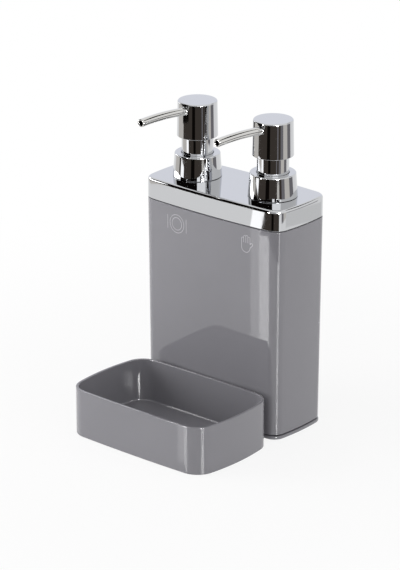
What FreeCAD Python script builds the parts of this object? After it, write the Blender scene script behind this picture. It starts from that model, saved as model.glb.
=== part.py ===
import FreeCAD, Part
import math
import os

# Twin soap pump caddy with a drop-on sponge tray.
# Millimetres. +Z is up, -Y is the front, and the origin is the middle of the footprint on the floor.

Vec = FreeCAD.Vector
UP = Vec(0, 0, 1)
CENTRE = Vec(0, 0, 0)

# Body: one drafted shell with two soap chambers, seen from above a rectangle with bowed sides
body_width = 119.2          # across, at the lid
body_depth = 55.8           # front to back, at the lid
body_corner = 9.5           # radius of the four corners
body_front_bow = 2.6        # how far the front and back swell past a straight line
body_side_bow = 2.4         # the same at the two ends
deck_height = 160.6         # floor to the flat top of the lid
shell_draft = 1.2           # how much further in the shell stands at the floor than at its top, each side
shell_wall = 2.8
partition_wall = 2.0

# Base plate: closes the shell from below and carries the tongue that locates the tray
base_rim_height = 2.4
base_rim_proud = 0.4        # rim past the shell, each side
base_rim_round = 0.9
base_seam = 0.9             # shadow line between rim and shell
base_plug_depth = 3.0       # how far the plate stands up inside the shell
base_plug_clear = 0.05
foot_ring = 7.0             # width of the ring that the caddy stands on
foot_ring_depth = 0.8
tongue_lift = 0.3           # tongue above the floor
tongue_thickness = 1.2
tongue_neck_width = 26.0
tongue_head_width = 46.0
tongue_neck_length = 8.0    # from the tray's back face to the wide head
tongue_head_length = 14.0
tongue_clear = 0.3          # gap all round the tongue, and over it

# Lid: plated cap with a flat deck and two threaded necks
lid_band = 14.0             # height of the skirt that shows
lid_seam = 0.7              # shadow line between skirt and shell
lid_wall = 1.5
lid_deck = 2.4
lid_round = 2.0             # edge of the deck
lip_clear = 0.1             # shell lip inside the skirt
lid_gasket_thickness = 1.5

# Tray
tray_width = 120.0
tray_depth = 74.8
tray_height = 32.9
tray_corner = 14.0
tray_front_bow = 1.4
tray_side_bow = 4.5
tray_wall = 1.9
tray_floor = 1.0            # floor left over the tongue's pocket
tray_floor_round = 1.2
tray_rim_round = 0.3
tray_gap = 0.6              # tray to the widest part of the body

# Pumps: two alike, with screw collars of the common 28 mm kind
pump_spacing = 65.0
neck_dia = 25.4
neck_bore = 21.4
thread_lead = 4.233
thread_turns = 1.25
thread_rib = 0.85           # radius of the rounded thread
thread_below_rim = 1.9      # top of the neck down to the thread's upper end
thread_clear = 0.35         # collar wall to the crest of the neck's thread
collar_top_dia = 30.6
collar_base_dia = 33.0
collar_height = 16.0
collar_roof = 1.8
collar_round = 0.8
collar_lift = 0.2           # collar above the deck
collar_slack = 0.1          # collar roof above the sleeve's foot
neck_gasket_thickness = 1.2
clamp_margin = 0.4          # what the collar clamps stays this far inside the neck's outside
sleeve_dia = 21.3
sleeve_wall = 1.6
sleeve_foot = 1.6
sleeve_overlap = 2.5        # sleeve inside the head at rest
press_stroke = 11.0
press_end_gap = 0.7         # left between head and collar at full press
slide_clear = 0.3           # head skirt and collar roof round the sleeve
running_clear = 0.05        # stem in its guides, piston in its barrel
press_gap = 0.02            # pressed or glued joints

head_top_dia = 26.5
head_base_dia = 27.5
head_height = 24.2
head_round = 0.9
head_boss_wall = 2.4
head_boss_length = 5.0
head_socket_depth = 6.0

spout_dia = 5.4
spout_wall = 1.0
spout_reach = 56.4          # pump axis to the open tip
spout_drop = 5.0            # middle of the spout below the top, at the head's face
spout_rise = 7.2            # degrees upwards where it leaves the head
spout_fall = 2.2            # degrees downwards at the tip
spout_seat = 4.5            # pump axis to the spout's inner end
spout_straight = 1.0        # straight run outside the head before the bend
spout_recess = 0.35         # ring-shaped gap where the spout goes into the head
spout_recess_depth = 0.8

stem_dia = 7.0
stem_bore = 3.6
piston_height = 9.0
piston_stop_gap = 0.1       # piston below the sleeve's foot at rest
barrel_dia = 17.0
barrel_wall = 1.2
barrel_depth = 46.0
housing_flange = 1.6
spring_dia = 10.0           # middle of the wire
spring_wire = 0.9
spring_turns = 9
spring_seat_gap = 0.05
ball_dia = 5.0
ball_lift = 1.2
ball_gap = 0.05
inlet_bore = 3.0
cage_lip = 0.8
cage_bore = 4.4
cage_clear = 0.7            # ball to the wall round it
valve_wall = 1.3
barrel_foot = 4.0           # height of the cone under the barrel
inlet_length = 1.5
dip_dia = 5.2
dip_wall = 0.7
dip_grip = 7.0
dip_floor_gap = 3.0
dip_slant = 45.0            # degrees, the cut at the tube's lower end

# Fixed by the shape of the model, not by the product
TOUCH = 0.01                # how near counts as the same height or radius
least_corner = 0.5          # smallest corner that an inset outline keeps
past = 1.0                  # how far a cut runs past what it cuts
round_share = 0.45          # most of a wall that one rounded edge may take
biarcs_per_turn = 4

# Worked out
body_plan = (body_width, body_depth, body_corner, body_front_bow, body_side_bow)
tray_plan = (tray_width, tray_depth, tray_corner, tray_front_bow, tray_side_bow)
whole_depth = body_depth + tray_gap + tray_depth
body_y = whole_depth / 2 - body_depth / 2
tray_y = tray_depth / 2 - whole_depth / 2
body_front_y = body_y - body_depth / 2
tray_back_y = tray_y + tray_depth / 2

shell_bottom = base_rim_height + base_seam
shell_top = deck_height - lid_band - lid_seam
plug_top = shell_bottom + base_plug_depth
deck_under = deck_height - lid_deck
lip_top = deck_under - lid_gasket_thickness
lip_inset = lid_wall + lip_clear
tongue_top = tongue_lift + tongue_thickness
tray_floor_top = tongue_top + tongue_clear + tray_floor

collar_bottom = deck_height + collar_lift
collar_top = collar_bottom + collar_height
foot_top = collar_top - collar_roof - collar_slack
flange_top = foot_top - sleeve_foot
flange_bottom = flange_top - housing_flange
neck_top = flange_bottom - neck_gasket_thickness
head_bottom = collar_top + press_stroke + press_end_gap
head_top = head_bottom + head_height
sleeve_top = head_bottom + sleeve_overlap
cavity_top = sleeve_top + press_stroke + press_end_gap
boss_bottom = cavity_top - head_boss_length
socket_top = boss_bottom + head_socket_depth
stem_top = socket_top - running_clear

neck_r = neck_dia / 2
clamp_r = neck_r - clamp_margin
collar_bore_r = neck_r + thread_rib + thread_clear
sleeve_r = sleeve_dia / 2
stem_r = stem_dia / 2
spout_r = spout_dia / 2
barrel_r = barrel_dia / 2
barrel_bore_r = barrel_r - barrel_wall
thread_end = neck_top - thread_below_rim
thread_start = thread_end - thread_lead * thread_turns

piston_top = flange_top - piston_stop_gap
piston_bottom = piston_top - piston_height
barrel_floor = flange_top - barrel_depth
ball_r = ball_dia / 2
inlet_r = inlet_bore / 2
chamber_r = ball_r + cage_clear
seat_to_ball = (ball_r + ball_gap) * math.sqrt(2) - inlet_r
cage_height = seat_to_ball + ball_r + ball_lift + ball_gap
seat_z = barrel_floor - cage_lip - cage_height
ball_z = seat_z + seat_to_ball
socket_roof = seat_z - inlet_length
dip_r = dip_dia / 2
housing_end = socket_roof - dip_grip
valve_r = max(chamber_r, dip_r + press_gap) + valve_wall


def bowed_wire(plan, z, inset=0.0):
    """Outline of a plan at height z, moved in by inset: four shallow arcs joined by four corner arcs."""
    width, depth, corner, front_bow, side_bow = plan
    half_x = width / 2
    half_y = depth / 2
    front_radius = (half_x ** 2 + front_bow ** 2) / (2 * front_bow)
    side_radius = (half_y ** 2 + side_bow ** 2) / (2 * side_bow)
    front_centre = Vec(0, front_radius - half_y, 0)
    side_centre = Vec(half_x - side_radius, 0, 0)
    round_r = max(corner - inset, least_corner)

    # The corner's centre lies as far inside both shallow arcs as the corner's radius
    from_front = front_radius - inset - round_r
    from_side = side_radius - inset - round_r
    between = side_centre - front_centre
    span = between.Length
    along = (from_front ** 2 - from_side ** 2 + span ** 2) / (2 * span)
    aside = math.sqrt(from_front ** 2 - along ** 2)
    foot = front_centre + between * (along / span)
    square = Vec(-between.y, between.x, 0) * (aside / span)
    corner_centre = max((foot + square, foot - square), key=lambda spot: spot.x - spot.y)

    def out_from(centre, radius):
        return centre + (corner_centre - centre).normalize() * radius

    front_end = out_from(front_centre, front_radius - inset)
    side_end = out_from(side_centre, side_radius - inset)
    bisector = (front_end + side_end) * 0.5 - corner_centre
    corner_middle = corner_centre + bisector.normalize() * round_r
    front_middle = Vec(0, inset - half_y, 0)
    side_middle = Vec(half_x - inset, 0, 0)

    quarter = [front_end, corner_middle, side_end]
    right = quarter + [side_middle] + [Vec(p.x, -p.y, 0) for p in reversed(quarter)]
    back_middle = Vec(0, half_y - inset, 0)
    left = [Vec(-p.x, p.y, 0) for p in reversed(right)]
    loop = [Vec(p.x, p.y, z) for p in right + [back_middle] + left + [front_middle, front_end]]
    arcs = [Part.Arc(*loop[i:i + 3]).toShape() for i in range(0, len(loop) - 1, 2)]
    return Part.Wire(arcs)


def prism(plan, low, high, inset=0.0):
    """Straight-sided block on a plan."""
    return Part.Face(bowed_wire(plan, low, inset)).extrude(UP * (high - low))


def drafted(plan, low, low_inset, high, high_inset):
    """Block on a plan whose sides lean evenly."""
    return Part.makeLoft([bowed_wire(plan, low, low_inset), bowed_wire(plan, high, high_inset)], True, True)


def slab(width, front, back, low, high):
    """Box centred across the part, from one depth to another."""
    return Part.makeBox(width, back - front, high - low, Vec(-width / 2, front, low))


def turned(points):
    """Solid of revolution about Z from (radius, height) corners."""
    corners = [Vec(radius, 0, height) for radius, height in points]
    return Part.Face(Part.makePolygon(corners + corners[:1])).revolve(CENTRE, UP, 360)


def pipe(outer, inner, low, high):
    """Plain tube about Z."""
    return turned([(inner, low), (outer, low), (outer, high), (inner, high)])


def rounded(shape, radius, height, edge_radius=None):
    """Shape with its edges at one height rounded, or only the circle of one radius there."""
    edges = []
    for edge in shape.Edges:
        box = edge.BoundBox
        level = abs(box.ZMin - height) < TOUCH and abs(box.ZMax - height) < TOUCH
        if level and (edge_radius is None or abs(box.XMax - edge_radius) < TOUCH):
            edges.append(edge)
    return shape.makeFillet(radius, edges)


def arc_between(start, corner, end):
    """Arc from start to end whose end tangents meet at corner."""
    middle = (start + end) * 0.5
    tangent = (corner - start).Length
    half_chord = (middle - start).Length
    half_turn = math.acos(half_chord / tangent)
    radius = tangent / math.tan(half_turn)
    top = middle + (corner - middle).normalize() * (radius * (1 - math.cos(half_turn)))
    return Part.Arc(start, top, end).toShape()


def biarc(start, start_way, end, end_way):
    """Two tangent arcs from one point and direction to another."""
    gap = end - start
    ways = start_way + end_way
    bend = 4 - ways.dot(ways)
    reach = (math.sqrt(gap.dot(ways) ** 2 + bend * gap.dot(gap)) - gap.dot(ways)) / bend
    first_corner = start + start_way * reach
    second_corner = end - end_way * reach
    join = (first_corner + second_corner) * 0.5
    return [arc_between(start, first_corner, join), arc_between(join, second_corner, end)]


def coil(radius, wire_r, lead, turns, low):
    """Round wire wound about Z, its middle starting at height low."""
    steps = math.ceil(turns * biarcs_per_turn)
    step = 2 * math.pi * turns / steps
    rise = lead / (2 * math.pi)

    def place(i):
        return Vec(radius * math.cos(i * step), radius * math.sin(i * step), low + rise * i * step)

    def way(i):
        return Vec(-radius * math.sin(i * step), radius * math.cos(i * step), rise).normalize()

    path = []
    for i in range(steps):
        path += biarc(place(i), way(i), place(i + 1), way(i + 1))
    section = Part.Wire(Part.makeCircle(wire_r, place(0), way(0)))
    return Part.Wire(path).makePipeShell([section], True, False)


def shell():
    """Drafted shell, open above and below, with the wall between its two chambers."""
    outside = drafted(body_plan, shell_bottom, shell_draft, shell_top, 0)
    outside = outside.fuse(prism(body_plan, shell_top, lip_top, lip_inset))
    inside = drafted(body_plan, shell_bottom, shell_draft + shell_wall, shell_top, shell_wall)
    inside = inside.fuse(prism(body_plan, shell_top, lip_top, shell_wall))
    partition = slab(partition_wall, -body_depth, body_depth, plug_top, lip_top)
    return outside.cut(inside.cut(partition)).removeSplitter()


def tongue(grow, low, high):
    """T-shaped tongue that reaches forward under the tray, grown by grow on every side."""
    head_back = tray_back_y - tongue_neck_length
    head_front = head_back - tongue_head_length
    neck = slab(tongue_neck_width + 2 * grow, head_front, body_front_y + foot_ring, low, high)
    head = slab(tongue_head_width + 2 * grow, head_front - grow, head_back + grow, low, high)
    return neck.fuse(head).removeSplitter()


def base_plate():
    """Rim and plug that close the shell, with a foot ring below and the tray's tongue in front."""
    rim_inset = shell_draft - base_rim_proud
    rim = prism(body_plan, 0, base_rim_height, rim_inset)
    rim_round = min(base_rim_round, base_rim_height * round_share)
    rim = rounded(rim, rim_round, base_rim_height)
    rim = rounded(rim, rim_round, 0)
    plug = prism(body_plan, base_rim_height, plug_top, shell_draft + shell_wall + base_plug_clear)
    hollow = prism(body_plan, 0, foot_ring_depth, rim_inset + foot_ring)
    plate = rim.fuse(plug).cut(hollow).translated(Vec(0, body_y, 0))
    return plate.fuse(tongue(0, tongue_lift, tongue_top)).removeSplitter()


def lid():
    """Cap with a rounded deck, and two necks with a rounded screw thread."""
    cap = rounded(prism(body_plan, shell_top + lid_seam, deck_height), lid_round, deck_height)
    cap = cap.cut(prism(body_plan, shell_top + lid_seam, deck_under, lid_wall))
    thread = coil(neck_r, thread_rib, thread_lead, thread_turns, thread_start)
    bore = Part.makeCylinder(neck_bore / 2, neck_top - deck_under, Vec(0, 0, deck_under))
    neck = Part.makeCylinder(neck_r, neck_top - deck_under, Vec(0, 0, deck_under)).fuse(thread).cut(bore)
    for x in (-pump_spacing / 2, pump_spacing / 2):
        cap = cap.cut(bore.translated(Vec(x, 0, 0))).fuse(neck.translated(Vec(x, 0, 0)))
    return cap.removeSplitter()


def lid_gasket():
    """Flat ring on the shell's lip, with a bar on the partition."""
    ring = prism(body_plan, lip_top, deck_under, lip_inset)
    hole = prism(body_plan, lip_top, deck_under, shell_wall)
    return ring.cut(hole.cut(slab(partition_wall, -body_depth, body_depth, lip_top, deck_under)))


def tray():
    """Open tray with a rounded floor, and a pocket below that drops over the tongue."""
    block = prism(tray_plan, 0, tray_height)
    inside = prism(tray_plan, tray_floor_top, tray_height + past, tray_wall)
    inside = rounded(inside, tray_floor_round, tray_floor_top)
    open_tray = block.cut(inside)
    open_tray = rounded(open_tray, min(tray_rim_round, tray_wall * round_share), tray_height)
    pocket = tongue(tongue_clear, 0, tongue_top + tongue_clear)
    return open_tray.translated(Vec(0, tray_y, 0)).cut(pocket)


def collar():
    """Screw collar: a drafted cap with a hole for the sleeve and a thread inside."""
    base_r = collar_base_dia / 2
    top_r = collar_top_dia / 2
    hole_r = sleeve_r + slide_clear
    roof_under = collar_top - collar_roof
    cap = turned([(collar_bore_r, collar_bottom), (base_r, collar_bottom), (top_r, collar_top),
                  (hole_r, collar_top), (hole_r, roof_under), (collar_bore_r, roof_under)])
    cap = rounded(cap, min(collar_round, collar_roof * round_share), collar_top, top_r)
    thread = coil(collar_bore_r, thread_rib, thread_lead, thread_turns, thread_start - thread_lead / 2)
    outside = turned([(0, collar_bottom), (base_r, collar_bottom), (top_r, collar_top), (0, collar_top)])
    return cap.fuse(thread.common(outside)).removeSplitter()


def guide_sleeve():
    """Plated tube that the head slides over, with a foot that the collar clamps and the stem's guide."""
    guide_r = stem_r + running_clear
    inner_r = sleeve_r - sleeve_wall
    return turned([(guide_r, flange_top), (clamp_r, flange_top), (clamp_r, foot_top), (sleeve_r, foot_top),
                   (sleeve_r, sleeve_top), (inner_r, sleeve_top), (inner_r, foot_top), (guide_r, foot_top)])


def neck_gasket():
    """Flat ring between the neck and the housing's flange."""
    return pipe(clamp_r, neck_bore / 2, neck_top, flange_bottom)


def pump_housing():
    """Barrel with a flange on top, and a ball cage and a dip tube socket below."""
    socket_r = dip_r + press_gap
    cage_r = cage_bore / 2
    return turned([
        (barrel_bore_r, flange_top), (clamp_r, flange_top), (clamp_r, flange_bottom),
        (barrel_r, flange_bottom), (barrel_r, barrel_floor), (valve_r, barrel_floor - barrel_foot),
        (valve_r, housing_end), (socket_r, housing_end), (socket_r, socket_roof), (inlet_r, socket_roof),
        (inlet_r, seat_z), (chamber_r, seat_z + chamber_r - inlet_r), (chamber_r, barrel_floor - cage_lip),
        (cage_r, barrel_floor - cage_lip), (cage_r, barrel_floor), (barrel_bore_r, barrel_floor)])


def inlet_ball():
    """Ball that closes the inlet on the down stroke."""
    return Part.makeSphere(ball_r, Vec(0, 0, ball_z))


def dip_tube():
    """Suction tube with a slanted lower end."""
    low = plug_top + dip_floor_gap
    tube = pipe(dip_r, dip_r - dip_wall, low, socket_roof)
    slant = dip_dia * math.tan(math.radians(dip_slant))
    corners = [Vec(-dip_r, -dip_dia, low), Vec(dip_r, -dip_dia, low), Vec(dip_r, -dip_dia, low + slant)]
    wedge = Part.Face(Part.makePolygon(corners + corners[:1])).extrude(Vec(0, 2 * dip_dia, 0))
    return tube.cut(wedge)


def return_spring():
    """Coil spring between the barrel's floor and the piston."""
    wire_r = spring_wire / 2
    low = barrel_floor + wire_r + spring_seat_gap
    high = piston_bottom - wire_r - spring_seat_gap
    lead = (high - low) / spring_turns
    print("spring: gap between turns %.2f mm" % (lead - spring_wire))
    return coil(spring_dia / 2, wire_r, lead, spring_turns, low)


def piston():
    """Ring on the stem's lower end that runs in the barrel."""
    return pipe(barrel_bore_r - running_clear, stem_r + press_gap, piston_bottom, piston_top)


def stem():
    """Hollow plunger rod from the piston up into the head."""
    return pipe(stem_r, stem_bore / 2, piston_bottom, stem_top)


def spout_point(reach):
    """Point on the straight start of the spout's middle line, reach in front of the pump axis."""
    rise = (reach - head_base_dia / 2) * math.tan(math.radians(spout_rise))
    return Vec(0, -reach, head_top - spout_drop + rise)


def spout():
    """Thin tube: a short straight root, then one shallow bend to the open tip."""
    rise = math.radians(spout_rise)
    fall = math.radians(spout_fall)
    root = spout_point(spout_seat)
    bend_start = spout_point(head_base_dia / 2 + spout_straight)
    radius = (spout_reach + bend_start.y) / (math.sin(rise) + math.sin(fall))

    def on_bend(slope):
        out = radius * (math.sin(rise) - math.sin(slope))
        return bend_start + Vec(0, -out, radius * (math.cos(slope) - math.cos(rise)))

    bend = Part.Arc(bend_start, on_bend((rise - fall) / 2), on_bend(-fall)).toShape()
    path = Part.Wire([Part.makeLine(root, bend_start), bend])
    way = bend_start - root

    def tube(section_r):
        section = Part.Wire(Part.makeCircle(section_r, root, way))
        return path.makePipeShell([section], True, False)

    return tube(spout_r).cut(tube(spout_r - spout_wall))


def pump_head():
    """Push head: a skirt that slides over the sleeve, a boss for the stem and a hole for the spout."""
    base_r = head_base_dia / 2
    top_r = head_top_dia / 2
    skirt_r = sleeve_r + slide_clear
    socket_r = stem_r + running_clear
    boss_r = socket_r + head_boss_wall
    head = turned([(skirt_r, head_bottom), (base_r, head_bottom), (top_r, head_top), (0, head_top),
                   (0, socket_top), (socket_r, socket_top), (socket_r, boss_bottom), (boss_r, boss_bottom),
                   (boss_r, cavity_top), (skirt_r, cavity_top)])
    head = rounded(head, head_round, head_top, top_r)

    way = (spout_point(base_r) - spout_point(spout_seat)).normalize()
    seat = spout_point(spout_seat)
    hole = Part.makeCylinder(spout_r + press_gap, head_base_dia, seat, way)
    recess_start = spout_point(top_r - spout_recess_depth)
    recess = Part.makeCylinder(spout_r + spout_recess, head_base_dia, recess_start, way)
    channel_r = spout_r - spout_wall
    across = Part.makeCylinder(channel_r, spout_seat + past, seat + way * past, way * -1)
    riser = Part.makeCylinder(stem_bore / 2, seat.z - socket_top, Vec(0, 0, socket_top))
    return head.cut(hole).cut(recess).cut(across).cut(riser)


def save(name, shape, place):
    """Write one piece, moved to its place, as one solid."""
    solid = shape.translated(place).Solids[0]
    if len(shape.Solids) != 1 or not solid.isValid():
        raise RuntimeError(name + " is not one sound solid")
    solid.exportStep("parts/" + name + ".step")
    print("%-20s %10.1f mm3" % (name, solid.Volume))


os.makedirs("parts", exist_ok=True)

at_body = Vec(0, body_y, 0)
save("shell", shell(), at_body)
save("base_plate", base_plate(), CENTRE)
save("lid", lid(), at_body)
save("lid_gasket", lid_gasket(), at_body)
save("tray", tray(), CENTRE)

pump_pieces = (collar, guide_sleeve, neck_gasket, pump_housing, inlet_ball, dip_tube, return_spring,
               piston, stem, pump_head, spout)
for side, x in (("left", -pump_spacing / 2), ("right", pump_spacing / 2)):
    for piece in pump_pieces:
        save(side + "_" + piece.__name__, piece(), Vec(x, body_y, 0))
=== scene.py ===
import math
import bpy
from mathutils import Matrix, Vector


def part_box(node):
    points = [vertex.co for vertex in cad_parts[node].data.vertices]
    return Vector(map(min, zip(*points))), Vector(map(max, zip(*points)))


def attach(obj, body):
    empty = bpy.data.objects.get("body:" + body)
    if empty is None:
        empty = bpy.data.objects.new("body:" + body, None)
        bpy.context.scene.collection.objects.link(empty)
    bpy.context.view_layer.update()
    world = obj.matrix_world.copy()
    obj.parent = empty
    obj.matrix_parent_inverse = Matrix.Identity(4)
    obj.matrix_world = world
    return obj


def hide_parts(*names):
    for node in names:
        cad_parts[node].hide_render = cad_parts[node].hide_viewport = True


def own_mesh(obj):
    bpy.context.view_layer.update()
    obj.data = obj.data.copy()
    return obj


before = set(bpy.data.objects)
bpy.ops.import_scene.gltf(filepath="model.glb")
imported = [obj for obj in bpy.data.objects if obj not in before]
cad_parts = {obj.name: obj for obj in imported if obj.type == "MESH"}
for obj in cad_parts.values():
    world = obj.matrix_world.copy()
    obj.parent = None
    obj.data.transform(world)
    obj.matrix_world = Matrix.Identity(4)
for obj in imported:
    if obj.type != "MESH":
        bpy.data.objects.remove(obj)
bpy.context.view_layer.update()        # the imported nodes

from types import SimpleNamespace

import bmesh
import bpy
from bmesh.types import BMEdge, BMFace, BMVert
from bpy.props import FloatProperty, FloatVectorProperty, IntProperty, PointerProperty
from mathutils import Matrix, Vector
from mathutils.geometry import intersect_sphere_sphere_2d

bl_info = {
    "name": "Soap pump caddy",
    "version": (1, 0, 0),
    "blender": (4, 5, 0),
    "location": "View3D > Sidebar > Caddy",
    "description": "Dresses a twin soap dispenser with a sponge tray, and its studio",
    "category": "Object",
}

# Shapes are modelled in millimetres and scaled to metres when they become objects.
MM = 0.001
# Points nearer than this are taken as one.
TOUCH = 0.001
UP = Vector((0, 0, 1))
ACROSS = Vector((1, 0, 0))
TO_FRONT = Vector((0, -1, 0))
FULL_TURN = 2 * math.pi
SIDES = ("left", "right")

# How finely curves are divided
FRONT_STEPS = 28
CORNER_STEPS = 24
SIDE_STEPS = 16
TURN_STEPS = 160
ROUND_STEPS = 6
COIL_STEPS = 72
WIRE_STEPS = 16
BEND_STEPS = 28
TUBE_STEPS = 64
CARD_STEPS = 24
SHARP_ANGLE = math.radians(38)

# Width of the camera's sensor, in millimetres
SENSOR = 36


def linear(code):
    """Linear colour of an sRGB hex code."""
    shares = [int(code[i:i + 2], 16) / 255 for i in (0, 2, 4)]
    return [s / 12.92 if s <= 0.04045 else ((s + 0.055) / 1.055) ** 2.4 for s in shares] + [1.0]


def length(label, millimetres, note):
    """Setting that holds a length, given here in millimetres."""
    return FloatProperty(name=label, description=note, default=millimetres * MM, unit='LENGTH',
                         subtype='DISTANCE')


def angle(label, degrees, note):
    """Setting that holds an angle, given here in degrees."""
    return FloatProperty(name=label, description=note, default=math.radians(degrees), unit='ROTATION',
                         subtype='ANGLE')


def colour(label, code, note):
    """Setting that holds a colour, given here as an sRGB hex code."""
    return FloatVectorProperty(name=label, description=note, default=linear(code), size=4, min=0, max=1,
                               subtype='COLOR')


class CaddyBodySettings(bpy.types.PropertyGroup):
    """Sizes of the shell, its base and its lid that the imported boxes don't give."""
    corner: length("Corner", 9.5, "Radius of the four upright corners")
    front_bow: length("Front bow", 2.6, "How far the front and back swell")
    side_bow: length("Side bow", 2.4, "How far the two ends swell")
    draft: length("Draft", 1.2, "How much further in the shell stands at the floor, each side")
    wall: length("Wall", 2.8, "Thickness of the shell")
    partition: length("Partition", 2.0, "Thickness of the wall between the soap chambers")
    lip_inset: length("Lip inset", 1.6, "Shell lip inside the lid's skirt")
    shell_edge: length("Shell edge", 0.35, "Rounding of the shell's two rims")
    rim_height: length("Rim height", 2.4, "Height of the base rim")
    rim_inset: length("Rim inset", 0.8, "Base rim inside the lid's outline")
    rim_round: length("Rim round", 0.9, "Rounding of the base rim")
    foot_ring: length("Foot ring", 7.0, "Width of the ring that the caddy stands on")
    foot_depth: length("Foot depth", 0.8, "Depth of the hollow inside the foot ring")
    plug_inset: length("Plug inset", 4.05, "Plug of the base inside the lid's outline")
    lid_seam: length("Lid seam", 0.7, "Shadow line between skirt and shell")
    lid_wall: length("Lid wall", 1.5, "Thickness of the lid's skirt")
    lid_deck: length("Deck", 2.4, "Thickness of the flat deck")
    lid_round: length("Deck round", 2.0, "Rounding of the deck's edge")
    lid_edge: length("Skirt edge", 0.25, "Rounding of the skirt's lower edge")


class CaddyTraySettings(bpy.types.PropertyGroup):
    """Sizes of the tray and of the tongue that locates it."""
    corner: length("Corner", 14.0, "Radius of the four upright corners")
    front_bow: length("Front bow", 1.4, "How far the front and back swell")
    side_bow: length("Side bow", 4.5, "How far the two ends swell")
    wall: length("Wall", 1.9, "Thickness of the wall")
    floor: length("Floor", 2.8, "Top of the floor above the table")
    floor_round: length("Floor round", 1.2, "Rounding between wall and floor")
    rim_round: length("Rim round", 0.5, "Rounding of the rim")
    foot_edge: length("Foot edge", 0.3, "Rounding of the lower edge")
    tongue_low: length("Tongue underside", 0.3, "Tongue above the table")
    tongue_high: length("Tongue top", 1.5, "Top of the tongue above the table")
    tongue_neck: length("Tongue neck", 26.0, "Width of the tongue's neck")
    tongue_head: length("Tongue head", 46.0, "Width of the tongue's head")
    tongue_head_length: length("Tongue head length", 14.0, "Front to back of the tongue's head")
    tongue_clear: length("Tongue clearance", 0.3, "Gap round the tongue and over it")


class CaddyPumpSettings(bpy.types.PropertyGroup):
    """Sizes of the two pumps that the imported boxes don't give."""
    neck: length("Neck", 25.4, "Diameter of the threaded neck")
    neck_bore: length("Neck bore", 21.4, "Bore of the threaded neck")
    thread_lead: length("Thread lead", 4.233, "Rise of the thread in one turn")
    thread_rib: length("Thread rib", 0.85, "Radius of the rounded thread")
    thread_below_rim: length("Thread below rim", 1.9, "Top of the neck down to the thread's end")
    collar_top: length("Collar top", 30.6, "Diameter of the collar at its top")
    collar_bore: length("Collar bore", 27.8, "Bore of the collar")
    collar_roof: length("Collar roof", 1.8, "Thickness of the collar's roof")
    collar_round: length("Collar round", 0.8, "Rounding of the collar's top edge")
    collar_edge: length("Collar edge", 0.3, "Rounding of the collar's other edges")
    sleeve: length("Sleeve", 21.3, "Diameter of the guide sleeve")
    sleeve_wall: length("Sleeve wall", 1.6, "Thickness of the guide sleeve")
    sleeve_foot: length("Sleeve foot", 1.6, "Thickness of the sleeve's foot")
    slide_clear: length("Sliding gap", 0.3, "Gap round the sleeve")
    stem: length("Stem", 7.1, "Bore that the stem runs in")
    head_top: length("Head top", 26.5, "Diameter of the push head at its top")
    head_round: length("Head round", 0.9, "Rounding of the head's top edge")
    head_edge: length("Head edge", 0.3, "Rounding of the head's lower edge")
    head_roof: length("Head roof", 10.0, "Top of the head down to the cavity round the sleeve")
    boss_wall: length("Boss wall", 2.4, "Wall round the stem's socket")
    boss: length("Boss", 5.0, "Length of the stem's boss below the roof")
    socket: length("Socket", 6.0, "Depth of the stem's socket")
    spring_wire: length("Spring wire", 0.9, "Diameter of the return spring's wire")
    spring_turns: IntProperty(name="Spring turns", description="Turns of the return spring", default=9, min=1)
    spout: length("Spout", 5.4, "Diameter of the spout")
    spout_wall: length("Spout wall", 1.0, "Thickness of the spout's wall")
    spout_round: length("Spout round", 0.45, "Rounding of the spout's open tip")
    spout_reach: length("Spout reach", 56.4, "Pump axis to the open tip")
    spout_rise: angle("Spout rise", 7.2, "Upward slope of the spout where it leaves the head")
    spout_fall: angle("Spout fall", 2.2, "Downward slope of the spout at its tip")
    spout_drop: length("Spout drop", 5.0, "Middle of the spout below the head's top, at its face")
    spout_seat: length("Spout seat", 4.5, "Pump axis to the spout's inner end")
    spout_straight: length("Spout straight", 1.0, "Straight run outside the head before the bend")
    spout_recess: length("Recess", 0.35, "Ring-shaped gap round the spout's root")
    spout_recess_depth: length("Recess depth", 0.8, "Depth of that gap")


class CaddyFinishSettings(bpy.types.PropertyGroup):
    """Colours of the finishes."""
    grey: colour("Grey", "828186", "Moulded body and tray")
    chrome: colour("Chrome", "C7C8CA", "Plated lid and pumps")
    steel: colour("Steel", "D2D1CE", "Polished spouts")
    wire: colour("Wire", "B4B4B2", "Spring and ball")
    polypropylene: colour("Polypropylene", "E4E4E0", "Inner pump parts")
    rubber: colour("Rubber", "2A2A2C", "Gaskets")
    etching: colour("Etching", "B0AFB4", "Lines of the pictograms")


class CaddyStageSettings(bpy.types.PropertyGroup):
    """Camera, lamps and surroundings."""
    azimuth: angle("Azimuth", 40.844, "Camera to the right of the front")
    elevation: angle("Elevation", 20.484, "Camera above the horizon")
    distance: length("Distance", 1917.0, "Camera to its target")
    target_across: length("Target across", -0.084, "Target to the right of the middle")
    target_back: length("Target back", 2.7, "Target behind the middle")
    target_height: length("Target height", 99.65, "Target above the table")
    lens: FloatProperty(name="Lens", description=f"Focal length on a {SENSOR} mm sensor", default=183.55,
                        unit='CAMERA')
    sky: FloatProperty(name="Sky", description="Light that the surroundings shed on the object", default=0.65,
                       min=0, soft_max=10, subtype='FACTOR')
    lamp_power: FloatProperty(name="Lamp power", default=8.5, min=0, unit='POWER',
                              description="Watts of the left lamp; the right one has a third")


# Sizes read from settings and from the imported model

def sizes(group):
    """A group's settings as plain values, with its lengths in millimetres."""
    values = {name: getattr(group, name) for name in type(group).__annotations__}
    for name in values:
        if group.bl_rna.properties[name].unit == 'LENGTH':
            values[name] /= MM
    return SimpleNamespace(**values)


def node_box(node):
    """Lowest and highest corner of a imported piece, in millimetres."""
    low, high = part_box(node)
    return low / MM, high / MM


def pump_axis(side):
    """Foot of one pump's upright axis."""
    low, high = node_box(side + "_collar")
    return Vector(((low.x + high.x) / 2, (low.y + high.y) / 2, 0))


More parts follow.
